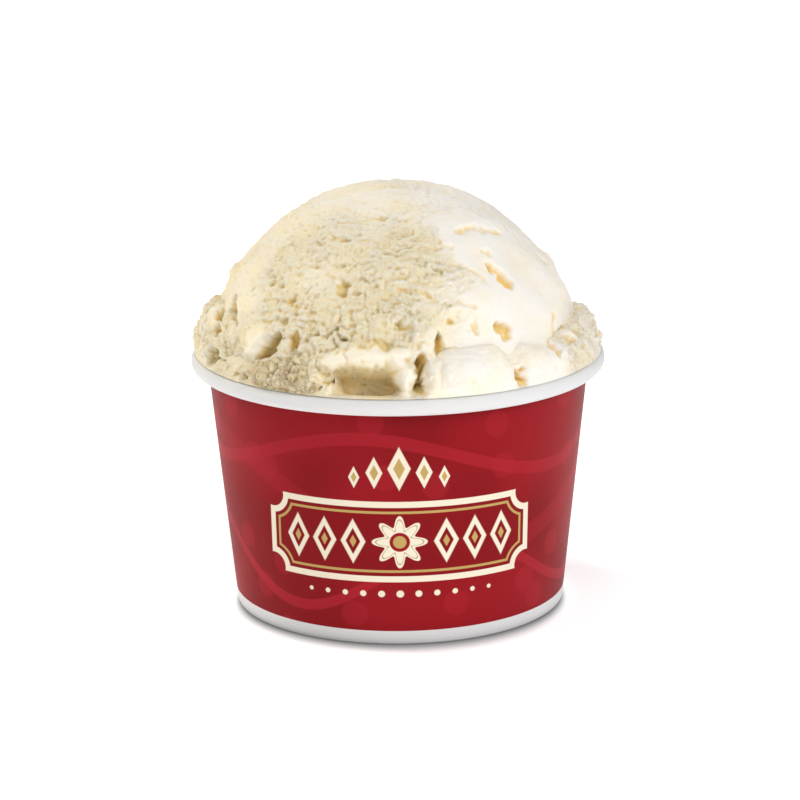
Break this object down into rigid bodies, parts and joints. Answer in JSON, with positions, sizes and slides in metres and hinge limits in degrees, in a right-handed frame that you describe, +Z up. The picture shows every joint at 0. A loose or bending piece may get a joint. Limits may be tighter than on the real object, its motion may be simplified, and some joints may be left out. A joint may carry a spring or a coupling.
{
  "type": "ice cream cup",
  "caption": "Paper cup of vanilla ice cream: a rolled-rim board cup with a recessed base, heaped with a scooped ball over a torn collar.",
  "frame": {"origin": "centre of the cup's foot, on the surface it stands on", "axes": "+Z up along the cup's axis, -Y towards the front of the print, +X to the front's right"},
  "size_m": [0.096, 0.096, 0.0984],
  "materials": {
    "printed_board": "coated paperboard, printed red in tone-on-tone fields with a cream and gold ornament, satin sheen, white at the rolled rim and along the foot",
    "plain_board": "uncoated-looking white paperboard, matte",
    "vanilla_ice_cream": "frozen vanilla cream, softly translucent, torn and granular in places, smooth where the scoop or paddle passed, warmer in its crevices"
  },
  "bodies": {
    "root": {"cup_wall": "printed_board", "cup_base": "plain_board", "ice_cream": "vanilla_ice_cream"}
  },
  "joints": []
}
